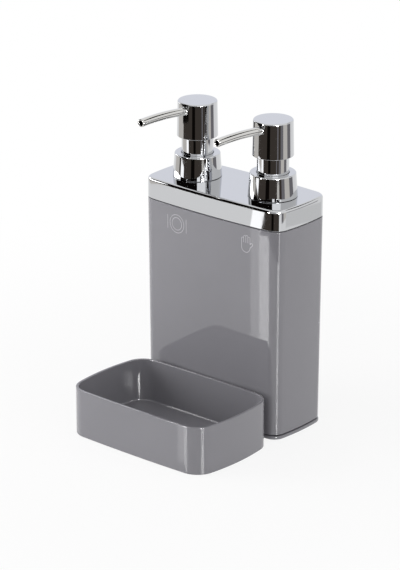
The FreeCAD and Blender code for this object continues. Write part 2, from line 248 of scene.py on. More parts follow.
class Plan:
    """Outline seen from above: a rectangle with bowed sides and round corners."""

    def __init__(self, node, corner, front_bow, side_bow):
        low, high = node_box(node)
        self.middle = (low.xy + high.xy) / 2
        self.half = (high.xy - low.xy) / 2
        self.front_radius = (self.half.x ** 2 + front_bow ** 2) / (2 * front_bow)
        self.side_radius = (self.half.y ** 2 + side_bow ** 2) / (2 * side_bow)
        self.front_centre = Vector((0, self.front_radius - self.half.y))
        self.side_centre = Vector((self.half.x - self.side_radius, 0))
        spots = intersect_sphere_sphere_2d(self.front_centre, self.front_radius - corner,
                                           self.side_centre, self.side_radius - corner)
        self.corner_centre = max(spots, key=lambda spot: spot.x - spot.y)

    def ring(self, mesh):
        """Closed ring of edges on the table: three spun arcs, mirrored into the other quarters."""
        to_corner = self.corner_centre - self.front_centre
        from_side = self.corner_centre - self.side_centre
        front_turn = math.atan2(to_corner.x, -to_corner.y)
        side_turn = math.atan2(-from_side.y, from_side.x)
        arcs = ((self.front_centre, front_turn, FRONT_STEPS),
                (self.corner_centre, math.pi / 2 - front_turn - side_turn, CORNER_STEPS),
                (self.side_centre, side_turn, SIDE_STEPS))
        end = mesh.verts.new((0, -self.half.y, 0))
        for centre, turn, steps in arcs:
            swept = bmesh.ops.spin(mesh, geom=[end], cent=(*centre, 0), axis=UP, angle=turn, steps=steps)
            end = of_kind(swept["geom_last"], BMVert)[0]
        for mirror_axis in 'XY':
            bmesh.ops.mirror(mesh, geom=mesh.verts[:] + mesh.edges[:], merge_dist=TOUCH, axis=mirror_axis)
        bmesh.ops.translate(mesh, verts=mesh.verts, vec=(*self.middle, 0))
        return mesh.edges[:]

    def outward(self, place):
        """Level vector of length 1 that points straight out of the outline at a place on it."""
        spot = place.xy - self.middle
        folded = Vector((abs(spot.x), -abs(spot.y)))
        centre = self.corner_centre
        if (self.corner_centre - self.front_centre).cross(folded - self.front_centre) <= 0:
            centre = self.front_centre
        elif (self.corner_centre - self.side_centre).cross(folded - self.side_centre) >= 0:
            centre = self.side_centre
        way = (folded - centre).normalized()
        return Vector((math.copysign(way.x, spot.x), math.copysign(way.y, spot.y), 0))

    def front_face(self, x, inset):
        """Depth of the bowed front at x, inset from the outline."""
        radius = self.front_radius - inset
        across = x - self.middle.x
        return self.middle.y + self.front_centre.y - math.sqrt(radius ** 2 - across ** 2)


# Modelling

def of_kind(parts, kind):
    """Those of some parts of a mesh that are of one kind."""
    return [part for part in parts if isinstance(part, kind)]


def walls(plan, profile):
    """Bands of wall round a plan through its (inset, height) corners, and the ring of edges at each."""
    mesh = bmesh.new()
    rings = [plan.ring(mesh)]
    last_inset, last_height = 0, 0
    for place, (inset, height) in enumerate(profile):
        if place:
            grown = bmesh.ops.extrude_edge_only(mesh, edges=rings[-1])["geom"]
            rings.append(of_kind(grown, BMEdge))
        for vert in {vert for edge in rings[-1] for vert in edge.verts}:
            vert.co += UP * (height - last_height) - plan.outward(vert.co) * (inset - last_inset)
        last_inset, last_height = inset, height
    return mesh, rings


def cap(mesh, ring):
    """Closes a ring with one flat face."""
    bmesh.ops.edgeloop_fill(mesh, edges=ring)


def round_off(mesh, edges, radius):
    """Rounds edges."""
    bmesh.ops.recalc_face_normals(mesh, faces=mesh.faces)
    bmesh.ops.bevel(mesh, geom=edges, offset=radius, offset_type='OFFSET', affect='EDGES',
                    segments=ROUND_STEPS, profile=0.5, clamp_overlap=False, material=-1)


def turned(corners, closed=True):
    """Body turned about the upright axis from its (radius, height) corners."""
    mesh = bmesh.new()
    verts = [mesh.verts.new((radius, 0, height)) for radius, height in corners]
    pairs = list(zip(verts, verts[1:]))
    if closed:
        pairs.append((verts[-1], verts[0]))
    edges = [mesh.edges.new(pair) for pair in pairs]
    bmesh.ops.spin(mesh, geom=verts + edges, cent=(0, 0, 0), axis=UP, angle=FULL_TURN, steps=TURN_STEPS,
                   use_merge=True)
    bmesh.ops.remove_doubles(mesh, verts=mesh.verts, dist=TOUCH)
    return mesh


def circle_at(mesh, radius, height):
    """The round edge of a turned body at one radius and height."""
    def is_on(vert):
        return abs(vert.co.xy.length - radius) < TOUCH and abs(vert.co.z - height) < TOUCH
    return [edge for edge in mesh.edges if all(is_on(vert) for vert in edge.verts)]


def coil(radius, rib, lead, turns, low):
    """Round rib or wire wound about the upright axis."""
    mesh = bmesh.new()
    steps = round(turns * COIL_STEPS)
    start = Matrix.Translation((radius, 0, low)) @ Matrix.Rotation(math.pi / 2, 4, 'X')
    bmesh.ops.create_circle(mesh, cap_ends=True, radius=rib, segments=WIRE_STEPS, matrix=start)
    bmesh.ops.spin(mesh, geom=mesh.verts[:] + mesh.edges[:] + mesh.faces[:], cent=(0, 0, 0), axis=UP,
                   dvec=UP * (lead * turns / steps), angle=FULL_TURN * turns, steps=steps)
    return mesh


def block(low, high):
    """Plain box between two corners."""
    mesh = bmesh.new()
    middle = (Vector(low) + Vector(high)) / 2
    spread = Matrix.Diagonal((*(Vector(high) - Vector(low)), 1))
    bmesh.ops.create_cube(mesh, size=1, matrix=Matrix.Translation(middle) @ spread)
    return mesh


def tongue_shape(tray, grow, low, high):
    """T-shaped tongue under the tray, grown by grow on every side."""
    front = node_box("base_plate")[0].y
    shoulder = front + tray.tongue_head_length
    back = node_box("shell")[0].y + tray.tongue_head_length / 2
    half_neck = tray.tongue_neck / 2 + grow
    half_head = tray.tongue_head / 2 + grow
    mesh = block((-half_head, front - grow, low), (half_head, shoulder + grow, high))
    return combine(mesh, block((-half_neck, front, low), (half_neck, back, high)), 'UNION')


def combine(base, other, operation):
    """Base mesh with another closed one joined to it or cut from it; both are used up."""
    pair = []
    for mesh in (base, other):
        bmesh.ops.recalc_face_normals(mesh, faces=mesh.faces)
        data = bpy.data.meshes.new("combining")
        mesh.to_mesh(data)
        mesh.free()
        pair.append(bpy.data.objects.new("combining", data))
        bpy.context.scene.collection.objects.link(pair[-1])
    modifier = pair[0].modifiers.new("Combine", 'BOOLEAN')
    modifier.object = pair[1]
    modifier.operation = operation
    modifier.solver = 'EXACT'
    result = bmesh.new()
    result.from_object(pair[0], bpy.context.evaluated_depsgraph_get())
    for piece in pair:
        data = piece.data
        bpy.data.objects.remove(piece)
        bpy.data.meshes.remove(data)
    return result


def add_object(context, mesh, name, finish):
    """Scene object in metres from a mesh in millimetres."""
    bmesh.ops.remove_doubles(mesh, verts=mesh.verts, dist=TOUCH / 10)
    bmesh.ops.recalc_face_normals(mesh, faces=mesh.faces)
    bmesh.ops.scale(mesh, vec=(MM, MM, MM), verts=mesh.verts)
    for face in mesh.faces:
        face.smooth = True
    data = bpy.data.meshes.new(name)
    mesh.to_mesh(data)
    mesh.free()
    data.set_sharp_from_angle(angle=SHARP_ANGLE)
    data.materials.append(finish)
    thing = bpy.data.objects.new(name, data)
    context.scene.collection.objects.link(thing)
    return thing


def add_piece(context, mesh, name, body, slot, finish, *nodes):
    """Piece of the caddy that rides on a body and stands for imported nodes."""
    piece = add_object(context, mesh, name, finish)
    normals = piece.modifiers.new("Flat faces stay flat", 'WEIGHTED_NORMAL')
    normals.keep_sharp = True
    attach(piece, body)
    if nodes:
        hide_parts(*nodes)
    return piece


def add_pump_piece(context, mesh, side, name, body, slot, finish, node):
    """Piece of one pump that was made about the upright axis."""
    bmesh.ops.translate(mesh, verts=mesh.verts, vec=pump_axis(side))
    return add_piece(context, mesh, side + name, side + body, slot, finish, side + node)


# Finishes

def per_metre(millimetres):
    """Texture scale for a pattern that repeats about every so many millimetres."""
    return 1 / (millimetres * MM)


def add_node(tree, kind, inputs, **settings):
    """Adds a node, sets its properties, and sets its inputs or links them to other nodes."""
    node = tree.nodes.new(kind)
    for name, value in settings.items():
        setattr(node, name, value)
    for name, value in inputs.items():
        if isinstance(value, bpy.types.Node):
            value = value.outputs[0]
        if isinstance(value, bpy.types.NodeSocket):
            tree.links.new(value, node.inputs[name])
        else:
            node.inputs[name].default_value = value
    return node


def new_material(name):
    """Empty node material and its tree, or None for the tree where the material is already there."""
    if name in bpy.data.materials:
        return bpy.data.materials[name], None
    material = bpy.data.materials.new(name)
    material.use_nodes = True
    material.node_tree.nodes.clear()
    return material, material.node_tree


def patterned(name, shader, grain, gloss, relief=None, bump=None, flow=None, tint=None):
    """Material whose gloss follows a grain, with a relief and a flow of colour where it has them.

    A pattern is its size across Y and along Y, in millimetres, and its detail. Gloss and tint say which
    part of the pattern's range goes to which roughness or brightness, and bump is a strength and a height.
    """
    material, tree = new_material(name)
    if not tree:
        return material
    spot = add_node(tree, "ShaderNodeTexCoord", {}).outputs["Object"]
    noise = {}
    for pattern in filter(None, dict.fromkeys((grain, relief, flow))):
        width, run, detail = pattern
        sized = add_node(tree, "ShaderNodeMapping", {
            "Vector": spot, "Scale": [per_metre(size) for size in (width, run, width)]})
        noise[pattern] = add_node(tree, "ShaderNodeTexNoise", {
            "Vector": sized, "Scale": 1.0, "Detail": detail})
    ends = ("From Min", "From Max", "To Min", "To Max")
    shader["Roughness"] = add_node(tree, "ShaderNodeMapRange", {
        "Value": noise[grain], **dict(zip(ends, gloss))})
    if flow:
        value = add_node(tree, "ShaderNodeMapRange", {"Value": noise[flow], **dict(zip(ends, tint))})
        shader["Base Color"] = add_node(tree, "ShaderNodeHueSaturation", {
            "Value": value, "Color": shader["Base Color"]})
    if relief:
        strength, height = bump
        shader["Normal"] = add_node(tree, "ShaderNodeBump", {
            "Height": noise[relief], "Strength": strength, "Distance": height * MM})
    skin = add_node(tree, "ShaderNodeBsdfPrincipled", shader)
    add_node(tree, "ShaderNodeOutputMaterial", {"Surface": skin})
    return material


def moulded_abs(context):
    """ABS moulded in a polished tool: an even gloss with a faint waviness, and a skin never quite even."""
    return patterned("grey_abs_moulded_gloss", {"Base Color": context.scene.caddy_finish.grey, "IOR": 1.53},
                     grain=(1.4, 1.4, 3), gloss=(0.3, 0.7, 0.02, 0.04), relief=(9, 9, 1), bump=(0.25, 0.01),
                     flow=(38, 38, 2), tint=(0.3, 0.7, 0.985, 1.015))


def chrome_plating(context):
    """Chrome plated over moulded ABS: a mirror that waves a little where the plastic under it sank."""
    return patterned("bright_chrome_plating_on_abs",
                     {"Base Color": context.scene.caddy_finish.chrome, "Metallic": 1.0},
                     grain=(6, 6, 3), gloss=(0.35, 0.7, 0.02, 0.05), relief=(16, 16, 1), bump=(0.4, 0.02))


def drawn_steel(name, tint, rough):
    """Stainless steel drawn through a die: bright, with fine lines along its length."""
    # Real die lines are a few hundredths of a millimetre apart; these are coarser, so that they show.
    lines = (0.6, 25, 2)
    return patterned(name, {"Base Color": tint, "Metallic": 1.0}, grain=lines,
                     gloss=(0.3, 0.7, rough, rough * 1.8), relief=lines, bump=(0.25, 0.01))


def spring_wire(context):
    """Drawn stainless wire of the springs, and the same steel for the balls: bright but a little dull."""
    return drawn_steel("stainless_steel_spring_wire", context.scene.caddy_finish.wire, rough=0.2)


def natural_polypropylene(context):
    """Undyed moulded polypropylene: milky, waxy and a little see-through."""
    return patterned("natural_polypropylene_moulded",
                     {"Base Color": context.scene.caddy_finish.polypropylene, "IOR": 1.49,
                      "Subsurface Weight": 0.3, "Subsurface Scale": 2 * MM},
                     grain=(3, 3, 2), gloss=(0, 1, 0.34, 0.46))


def gasket_rubber(context):
    """Soft sheet rubber: dark and dull, with a fine talc grain."""
    talc = (0.5, 0.5, 3)
    return patterned("gasket_rubber_sheet", {"Base Color": context.scene.caddy_finish.rubber, "IOR": 1.52},
                     grain=talc, gloss=(0, 1, 0.6, 0.85), relief=talc, bump=(0.3, 0.03))


def etched_abs(context):
    """ABS lightened by a laser: the same plastic, foamed to a paler and duller line."""
    return patterned("grey_abs_laser_etched", {"Base Color": context.scene.caddy_finish.etching, "IOR": 1.53},
                     grain=(0.15, 0.15, 2), gloss=(0, 1, 0.35, 0.6))


def glow(name, code, strength):
    """Card that glows evenly though it is no lamp, its colour given as an sRGB hex code; used for painted
    reflections and painted highlights.
    """
    material, tree = new_material(name)
    if tree:
        light = add_node(tree, "ShaderNodeEmission", {"Color": linear(code), "Strength": strength})
        add_node(tree, "ShaderNodeOutputMaterial", {"Surface": light})
    return material


# Pieces

def body_plan(body):
    """Outline of the caddy at its lid."""
    return Plan("lid", body.corner, body.front_bow, body.side_bow)


class CADDY_OT_shell(bpy.types.Operator):
    """Drafted shell with its lip and the wall between the two soap chambers"""
    bl_idname = "caddy.shell"
    bl_label = "Shell"

    def execute(self, context):
        body = sizes(context.scene.caddy_body)
        plan = body_plan(body)
        low, high = node_box("shell")
        shoulder = node_box("lid")[0].z - body.lid_seam
        mesh, rings = walls(plan, [
            (body.draft, low.z), (0, shoulder), (body.lip_inset, shoulder), (body.lip_inset, high.z),
            (body.wall, high.z), (body.wall, shoulder), (body.wall + body.draft, low.z)])
        bmesh.ops.bridge_loops(mesh, edges=rings[0] + rings[-1])
        round_off(mesh, rings[0] + rings[1], body.shell_edge)
        reach = plan.half.y - body.wall / 2 - body.draft
        partition = block((-body.partition / 2, plan.middle.y - reach, node_box("base_plate")[1].z),
                          (body.partition / 2, plan.middle.y + reach, high.z))
        mesh = combine(mesh, partition, 'UNION')
        add_piece(context, mesh, "grey_shell", "caddy", "grey_abs", moulded_abs(context), "shell")
        return {'FINISHED'}


class CADDY_OT_base(bpy.types.Operator):
    """Base plate with its rounded rim, its foot ring and the tray's tongue"""
    bl_idname = "caddy.base"
    bl_label = "Base"

    def execute(self, context):
        body = sizes(context.scene.caddy_body)
        tray = sizes(context.scene.caddy_tray)
        inner = body.rim_inset + body.foot_ring
        mesh, rings = walls(body_plan(body), [
            (inner, body.foot_depth), (inner, 0), (body.rim_inset, 0), (body.rim_inset, body.rim_height),
            (body.plug_inset, body.rim_height), (body.plug_inset, node_box("base_plate")[1].z)])
        cap(mesh, rings[0])
        cap(mesh, rings[-1])
        round_off(mesh, rings[2] + rings[3], body.rim_round)
        mesh = combine(mesh, tongue_shape(tray, 0, tray.tongue_low, tray.tongue_high), 'UNION')
        add_piece(context, mesh, "grey_base", "caddy", "grey_abs", moulded_abs(context), "base_plate")
        return {'FINISHED'}


class CADDY_OT_lid(bpy.types.Operator):
    """Plated lid: skirt, flat deck and two threaded necks"""
    bl_idname = "caddy.lid"
    bl_label = "Lid"

    def execute(self, context):
        body = sizes(context.scene.caddy_body)
        pump = sizes(context.scene.caddy_pump)
        low, high = node_box("lid")
        under = node_box("lid_gasket")[1].z
        deck = under + body.lid_deck
        mesh, rings = walls(body_plan(body), [
            (body.lid_wall, under), (body.lid_wall, low.z), (0, low.z), (0, deck)])
        cap(mesh, rings[0])
        cap(mesh, rings[-1])
        round_off(mesh, rings[2], body.lid_edge)
        round_off(mesh, rings[3], body.lid_round)
        neck_r = pump.neck / 2
        bore_r = pump.neck_bore / 2
        root = deck - body.lid_deck / 2
        top = high.z + body.lid_deck
        thread_turns = 1.25
        thread_low = high.z - pump.thread_below_rim - pump.thread_lead * thread_turns
        # The thread starts a little off the neck's seam, so that the two share no point.
        off_seam = math.radians(1.1)
        thread_start = Matrix.Rotation(off_seam, 3, 'Z')
        for side in SIDES:
            axis = pump_axis(side)
            neck = turned([(0, root), (neck_r, root), (neck_r, high.z), (0, high.z)], closed=False)
            thread = coil(neck_r, pump.thread_rib, pump.thread_lead, thread_turns, thread_low)
            bmesh.ops.rotate(thread, verts=thread.verts, matrix=thread_start)
            neck = combine(neck, thread, 'UNION')
            bore = turned([(0, low.z), (bore_r, low.z), (bore_r, top), (0, top)], closed=False)
            for part, operation in ((neck, 'UNION'), (bore, 'DIFFERENCE')):
                bmesh.ops.translate(part, verts=part.verts, vec=axis)
                mesh = combine(mesh, part, operation)
        add_piece(context, mesh, "plated_lid", "caddy", "chrome_plated_abs", chrome_plating(context), "lid")
        return {'FINISHED'}


class CADDY_OT_tray(bpy.types.Operator):
    """Open tray with a rounded floor and a pocket for the tongue below"""
    bl_idname = "caddy.tray"
    bl_label = "Tray"

    def execute(self, context):
        tray = sizes(context.scene.caddy_tray)
        high = node_box("tray")[1]
        plan = Plan("tray", tray.corner, tray.front_bow, tray.side_bow)
        mesh, rings = walls(plan, [(0, 0), (0, high.z), (tray.wall, high.z), (tray.wall, tray.floor)])
        cap(mesh, rings[0])
        cap(mesh, rings[-1])
        round_off(mesh, rings[0], tray.foot_edge)
        round_off(mesh, rings[1] + rings[2], tray.rim_round)
        round_off(mesh, rings[3], tray.floor_round)
        pocket = tongue_shape(tray, tray.tongue_clear, -tray.tongue_low, tray.tongue_high + tray.tongue_clear)
        mesh = combine(mesh, pocket, 'DIFFERENCE')
        add_piece(context, mesh, "grey_tray", "tray", "grey_abs", moulded_abs(context), "tray")
        return {'FINISHED'}


class PumpPieces:
    """What the operators share that make one piece for each pump."""

    def execute(self, context):
        pump = sizes(context.scene.caddy_pump)
        for side in SIDES:
            self.make(context, pump, side)
        return {'FINISHED'}


class CADDY_OT_collars(PumpPieces, bpy.types.Operator):
    """Two plated screw collars"""
    bl_idname = "caddy.collars"
    bl_label = "Collars"

    def make(self, context, pump, side):
        hole_r = pump.sleeve / 2 + pump.slide_clear
        bore_r = pump.collar_bore / 2
        top_r = pump.collar_top / 2
        low, high = node_box(side + "_collar")
        base_r = (high.x - low.x) / 2
        roof = high.z - pump.collar_roof
        mesh = turned([(bore_r, low.z), (base_r, low.z), (top_r, high.z), (hole_r, high.z),
                       (hole_r, roof), (bore_r, roof)])
        round_off(mesh, circle_at(mesh, top_r, high.z), pump.collar_round)
        edges = circle_at(mesh, base_r, low.z) + circle_at(mesh, hole_r, high.z)
        round_off(mesh, edges, pump.collar_edge)
        add_pump_piece(context, mesh, side, "_plated_collar", "_collar", "chrome_plated_abs",
                       chrome_plating(context), "_collar")


class CADDY_OT_sleeves(PumpPieces, bpy.types.Operator):
    """Two plated guide sleeves, each with the foot that its collar clamps"""
    bl_idname = "caddy.sleeves"
    bl_label = "Guide sleeves"

    def make(self, context, pump, side):
        stem_r = pump.stem / 2
        outer_r = pump.sleeve / 2
        inner_r = outer_r - pump.sleeve_wall
        low, high = node_box(side + "_guide_sleeve")
        foot_r = (high.x - low.x) / 2
        foot = low.z + pump.sleeve_foot
        mesh = turned([(stem_r, low.z), (foot_r, low.z), (foot_r, foot), (outer_r, foot),
                       (outer_r, high.z), (inner_r, high.z), (inner_r, foot), (stem_r, foot)])
        round_off(mesh, circle_at(mesh, outer_r, high.z), pump.collar_edge)
        add_pump_piece(context, mesh, side, "_plated_sleeve", "_pump", "chrome_plated_abs",
                       chrome_plating(context), "_guide_sleeve")


def spout_line(pump, side):
    """Start of one spout's middle line about its pump's axis, its direction there, and the head's face."""
    low, high = node_box(side + "_pump_head")
    face = (high.x - low.x) / 2
    way = Vector((0, -math.cos(pump.spout_rise), math.sin(pump.spout_rise)))
    seat = Vector((0, -face, high.z - pump.spout_drop)) + way * ((face - pump.spout_seat) / way.y)
    root = Matrix.Translation(seat) @ way.to_track_quat('Z', 'X').to_matrix().to_4x4()
    return SimpleNamespace(seat=seat, way=way, root=root, face=face)


class CADDY_OT_heads(PumpPieces, bpy.types.Operator):
    """Two plated push heads, each with a recessed hole for its spout"""
    bl_idname = "caddy.heads"
    bl_label = "Push heads"

    def make(self, context, pump, side):
        top_r = pump.head_top / 2
        skirt_r = pump.sleeve / 2 + pump.slide_clear
        stem_r = pump.stem / 2
        boss_r = stem_r + pump.boss_wall
        spout_r = pump.spout / 2
        side_bands = 9
        low, high = node_box(side + "_pump_head")
        base_r = (high.x - low.x) / 2
        cavity = high.z - pump.head_roof
        boss_low = cavity - pump.boss
        socket = boss_low + pump.socket
        taper, rise = (top_r - base_r) / side_bands, (high.z - low.z) / side_bands
        outside = [(base_r + taper * band, low.z + rise * band) for band in range(side_bands + 1)]
        mesh = turned([(0, socket), (stem_r, socket), (stem_r, boss_low), (boss_r, boss_low),
                       (boss_r, cavity), (skirt_r, cavity), (skirt_r, low.z), *outside, (0, high.z)],
                      closed=False)
        round_off(mesh, circle_at(mesh, top_r, high.z), pump.head_round)
        round_off(mesh, circle_at(mesh, base_r, low.z), pump.head_edge)

        line = spout_line(pump, side)
        to_face = line.face - pump.spout_seat
        gap = (to_face - pump.spout_recess_depth - (base_r - top_r)) / math.cos(pump.spout_rise)
        snug = pump.spout_recess / 10
        hole_r = spout_r + snug
        recess_r = spout_r + pump.spout_recess
        beyond = 2 * to_face
        hole = turned([(0, 0), (hole_r, 0), (hole_r, gap), (recess_r, gap), (recess_r, beyond),
                       (0, beyond)], closed=False)
        bmesh.ops.transform(hole, verts=hole.verts, matrix=line.root)
        mesh = combine(mesh, hole, 'DIFFERENCE')
        add_pump_piece(context, mesh, side, "_plated_head", "_head", "chrome_plated_abs",
                       chrome_plating(context), "_pump_head")


class CADDY_OT_spouts(PumpPieces, bpy.types.Operator):
    """Two thin steel spouts: a straight root, one shallow bend and an open tip"""
    bl_idname = "caddy.spouts"
    bl_label = "Spouts"

    def make(self, context, pump, side):
        outer_r = pump.spout / 2
        inner_r = outer_r - pump.spout_wall
        rise, fall = pump.spout_rise, pump.spout_fall
        steel = drawn_steel("stainless_steel_drawn_tube", context.scene.caddy_finish.steel, rough=0.05)
        line = spout_line(pump, side)
        mesh = bmesh.new()
        for radius in (outer_r, inner_r):
            bmesh.ops.create_circle(mesh, radius=radius, segments=TUBE_STEPS, matrix=line.root)
        bmesh.ops.bridge_loops(mesh, edges=mesh.edges)

        straight = (line.face + pump.spout_straight - pump.spout_seat) / math.cos(rise)
        end = mesh.faces[:] + mesh.edges[:] + mesh.verts[:]
        grown = bmesh.ops.extrude_face_region(mesh, geom=end)["geom"]
        bmesh.ops.translate(mesh, vec=line.way * straight, verts=of_kind(grown, BMVert))
        bend_start = line.seat + line.way * straight
        radius = (pump.spout_reach + bend_start.y) / (math.sin(rise) + math.sin(fall))
        centre = bend_start - Vector((0, math.sin(rise), math.cos(rise))) * radius
        bend = bmesh.ops.spin(mesh, geom=grown, cent=centre, axis=ACROSS, angle=rise + fall,
                              steps=BEND_STEPS)["geom_last"]
        tip = set(of_kind(bend, BMFace))
        tip_edges = {edge for face in tip for edge in face.edges}
        rim = [edge for edge in tip_edges if len(tip & set(edge.link_faces)) == 1]
        round_off(mesh, rim, pump.spout_round)
        add_pump_piece(context, mesh, side, "_steel_spout", "_head", "polished_steel", steel, "_spout")


class Stroke:
    """Raised lines of one width, drawn flat in X and Z and then laid on the bowed front."""
    width = 0.38
    proud = 0.05
    sunk = 0.2
    steps = 40

    def __init__(self):
        self.mesh = bmesh.new()

    def section(self, x, z, turn):
        """Cross-section of a line at a place, square to the way that turn gives."""
        across = Vector((math.cos(turn), 0, math.sin(turn))) * (self.width / 2)
        corners = [Vector((x, depth, z)) + across * way
                   for depth, way in ((-self.proud, -1), (-self.proud, 1), (self.sunk, 1), (self.sunk, -1))]
        return self.mesh.faces.new([self.mesh.verts.new(corner) for corner in corners])

    def bar(self, x, z, run):
        """Straight line from a place."""
        start = self.section(x, z, math.atan2(run[1], run[0]) + math.pi / 2)
        grown = bmesh.ops.extrude_face_region(self.mesh, geom=[start])["geom"]
        bmesh.ops.translate(self.mesh, vec=(run[0], 0, run[1]), verts=of_kind(grown, BMVert))

    def arc(self, x, z, radius, start_turn, sweep):
        """Round line about a centre."""
        start = self.section(x + radius * math.cos(start_turn), z + radius * math.sin(start_turn), start_turn)
        whole = abs(sweep - FULL_TURN) < TOUCH
        edges = start.edges[:]
        geom = start.verts[:] + edges if whole else start.verts[:] + edges + [start]
        if whole:
            self.mesh.faces.remove(start)
        bmesh.ops.spin(self.mesh, geom=geom, cent=(x, 0, z), axis=TO_FRONT, angle=sweep, steps=self.steps,
                       use_merge=whole)


class CADDY_OT_pictograms(bpy.types.Operator):
    """Two small line pictograms on the front: a plate with cutlery, and an open hand"""
    bl_idname = "caddy.pictograms"
    bl_label = "Pictograms"

    def plate(self, lines):
        """Plate between a fork and a knife, as plain strokes."""
        plate_r, well_r, cutlery, gap = 6.3, 4.3, 9.6, 2.1
        for radius in (plate_r, well_r):
            lines.arc(0, 0, radius, 0, FULL_TURN)
        for x in (-plate_r - gap, plate_r + gap):
            lines.bar(x, -cutlery / 2, (0, cutlery))

    def hand(self, lines):
        """Open hand: four fingers, a thumb and a rounded palm."""
        half = 0.86
        knuckles, wrist = 0.7, -2.4
        tips = (3.2, 4.6, 5.1, 4.2)
        lefts = [(2 * i - len(tips)) * half for i in range(len(tips))]
        for left, tip in zip(lefts, tips):
            lines.arc(left + half, tip, half, 0, math.pi)
        for i, left in enumerate(lefts[1:], 1):
            lines.bar(left, knuckles, (0, max(tips[i - 1], tips[i]) - knuckles))
        lines.bar(lefts[0], wrist, (0, tips[0] - wrist))
        lines.bar(-lefts[0], 0, (0, tips[-1]))
        lines.arc(0, wrist, -lefts[0], math.pi, math.pi)
        slant, thumb, inner_thumb = math.pi / 4, 2.6, 1.56
        thumb_r, tuck = 1.2 * half, 0.85 * half
        way = Vector((math.cos(slant), math.sin(slant)))
        lines.bar(-lefts[0], wrist, way * thumb)
        lines.bar(-lefts[0], 0, way * inner_thumb)
        centre = Vector((-lefts[0] - tuck, wrist + tuck)) + way * thumb
        lines.arc(centre.x, centre.y, thumb_r, -slant, math.pi)

    def execute(self, context):
        body = sizes(context.scene.caddy_body)
        plan = body_plan(body)
        low = node_box("shell")[0].z
        shoulder = node_box("lid")[0].z - body.lid_seam
        places = (("plate_pictogram", self.plate, -27.0, 134.2), ("hand_pictogram", self.hand, 32.4, 134.0))
        for name, draw, x, z in places:
            lines = Stroke()
            draw(lines)
            for vert in lines.mesh.verts:
                spot = vert.co + Vector((x, 0, z))
                inset = body.draft * (shoulder - spot.z) / (shoulder - low)
                vert.co = spot + Vector((0, plan.front_face(spot.x, inset), 0))
            bmesh.ops.remove_doubles(lines.mesh, verts=lines.mesh.verts, dist=TOUCH)
            # Where two strokes meet end to end, the end that they share is inside.
            shared = [face for face in lines.mesh.faces
                      if all(len(edge.link_faces) > 2 for edge in face.edges)]
            bmesh.ops.delete(lines.mesh, geom=shared, context='FACES_ONLY')
            add_piece(context, lines.mesh, name, "caddy", "grey_abs", etched_abs(context))
        return {'FINISHED'}


class CADDY_OT_springs(PumpPieces, bpy.types.Operator):
    """Two return springs, each with a mesh of its own"""
    bl_idname = "caddy.springs"
    bl_label = "Return springs"

    def make(self, context, pump, side):
        wire_r = pump.spring_wire / 2
        low, high = node_box(side + "_return_spring")
        height = high.z - low.z
        lead = (height - pump.spring_wire) / pump.spring_turns
        mesh = coil((high.x - low.x) / 2 - wire_r, wire_r, lead, pump.spring_turns, low.z + wire_r)
        spring = add_pump_piece(context, mesh, side, "_wire_spring", "_pump", "stainless_steel",
                                spring_wire(context), "_return_spring")
        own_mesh(spring)


class CADDY_OT_inner_pieces(bpy.types.Operator):
    """Finishes of the pieces inside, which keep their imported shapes"""
    bl_idname = "caddy.inner_pieces"
    bl_label = "Inner pieces"

    def execute(self, context):
        finishes = {"lid_gasket": gasket_rubber(context)}
        for side in SIDES:
            finishes[side + "_neck_gasket"] = gasket_rubber(context)
            for name in ("_pump_housing", "_dip_tube", "_piston", "_stem"):
                finishes[side + name] = natural_polypropylene(context)
            finishes[side + "_inlet_ball"] = spring_wire(context)
        for name, finish in finishes.items():
            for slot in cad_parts[name].material_slots:
                slot.material = finish
        return {'FINISHED'}


# Studio

def looked_at(tree, path):
    """1 for what the eye sees straight on, in a reflection or through glass, else 0."""
    seen = path.outputs["Is Camera Ray"]
    for ray in ("Is Glossy Ray", "Is Transmission Ray"):
        seen = add_node(tree, "ShaderNodeMath", {0: seen, 1: path.outputs[ray]}, operation='MAXIMUM')
    return seen


def white_table():
    """White table that fades into the background and keeps a soft shadow."""
    material, tree = new_material("white_table")
    if tree:
        fade_start, fade_end = 0.15, 0.45
        near_white, mirror_share, mirror_rough = 0.85, 0.06, 0.01
        path = add_node(tree, "ShaderNodeLightPath", {})
        spot = add_node(tree, "ShaderNodeTexCoord", {}).outputs["Object"]
        away = add_node(tree, "ShaderNodeVectorMath", {0: spot}, operation='LENGTH')
        fade = add_node(tree, "ShaderNodeMapRange", {
            "Value": away.outputs["Value"], "From Min": fade_start, "From Max": fade_end,
            "To Min": near_white, "To Max": 1.0}, interpolation_type='SMOOTHSTEP')
        share = add_node(tree, "ShaderNodeMath", {0: fade, 1: looked_at(tree, path)}, operation='MULTIPLY')
        paint = add_node(tree, "ShaderNodeBsdfDiffuse", {"Color": linear("F7F7F7")})
        white = add_node(tree, "ShaderNodeEmission", {"Color": linear("FFFFFF"), "Strength": 1.0})
        plain = add_node(tree, "ShaderNodeMixShader", {0: share, 1: paint, 2: white})
        mirror = add_node(tree, "ShaderNodeBsdfGlossy", {
            "Color": linear("FFFFFF"), "Roughness": mirror_rough})
        shine = add_node(tree, "ShaderNodeMath", {0: path.outputs["Is Glossy Ray"], 1: mirror_share},
                         operation='MULTIPLY')
        top = add_node(tree, "ShaderNodeMixShader", {0: shine, 1: plain, 2: mirror})
        add_node(tree, "ShaderNodeOutputMaterial", {"Surface": top})
    return material


def studio_card(context, name, finish, start, end, near, far, hub):
    """Card that only reflections see: an edge between two (radius, height) places, swept about a hub."""
    mesh = bmesh.new()
    way = Matrix.Rotation(math.radians(start), 3, 'Z') @ TO_FRONT
    ends = [mesh.verts.new(hub + way * radius + UP * height) for radius, height in (near, far)]
    edge = mesh.edges.new(ends)
    bmesh.ops.spin(mesh, geom=ends + [edge], cent=hub, axis=UP, angle=math.radians(end - start),
                   steps=CARD_STEPS)
    card = add_object(context, mesh, name, finish)
    card.visible_camera = False
    card.visible_diffuse = False
    card.visible_transmission = False
    card.visible_shadow = False


